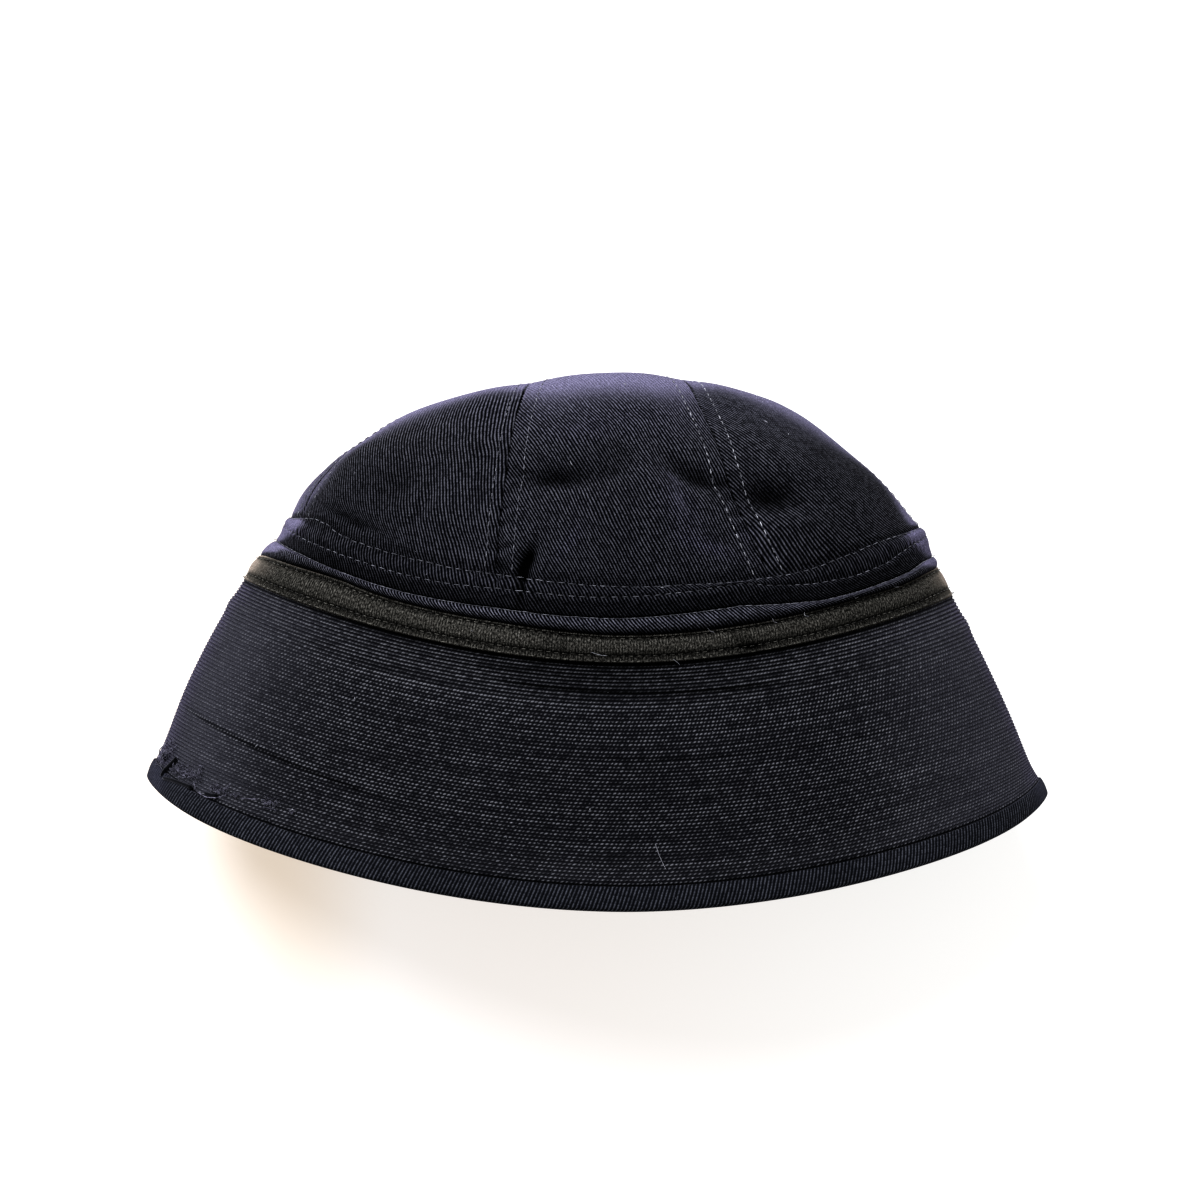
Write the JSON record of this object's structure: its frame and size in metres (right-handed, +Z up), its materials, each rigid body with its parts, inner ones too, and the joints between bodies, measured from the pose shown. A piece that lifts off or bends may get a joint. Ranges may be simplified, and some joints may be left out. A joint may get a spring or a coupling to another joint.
{
  "type": "sailor cap",
  "caption": "Soft sailor cap with a panelled twill crown, stitched hem band, rolled strip, head tape and wide quilted brim, lying on its back with its opening to one side.",
  "frame": {"origin": "middle of the underside of the cap's box, on the surface that the cap lies on", "axes": "+X runs along the cap's widest way, from its left fold to its right one as seen from above; +Y points from the opening to the crown; +Z is up"},
  "size_m": [0.3134, 0.1782, 0.1125],
  "materials": {
    "navy_twill": "matt cotton twill, faded along its ridges",
    "quilted_navy": "matt navy cloth under close rows of stitches",
    "olive_black_tape": "matt ribbed tape, worn pale at its ends",
    "binding_twill": "matt folded twill with slanting ribs"
  },
  "bodies": {
    "root": {"brim": "quilted_navy", "brim_binding": "binding_twill", "head_tape": "olive_black_tape", "rolled_strip": "navy_twill", "hem_band": "navy_twill", "crown_panel_front": "navy_twill", "crown_panel_right": "navy_twill", "crown_panel_back_right": "navy_twill", "crown_panel_back": "navy_twill", "crown_panel_back_left": "navy_twill", "crown_panel_left": "navy_twill"}
  },
  "joints": []
}
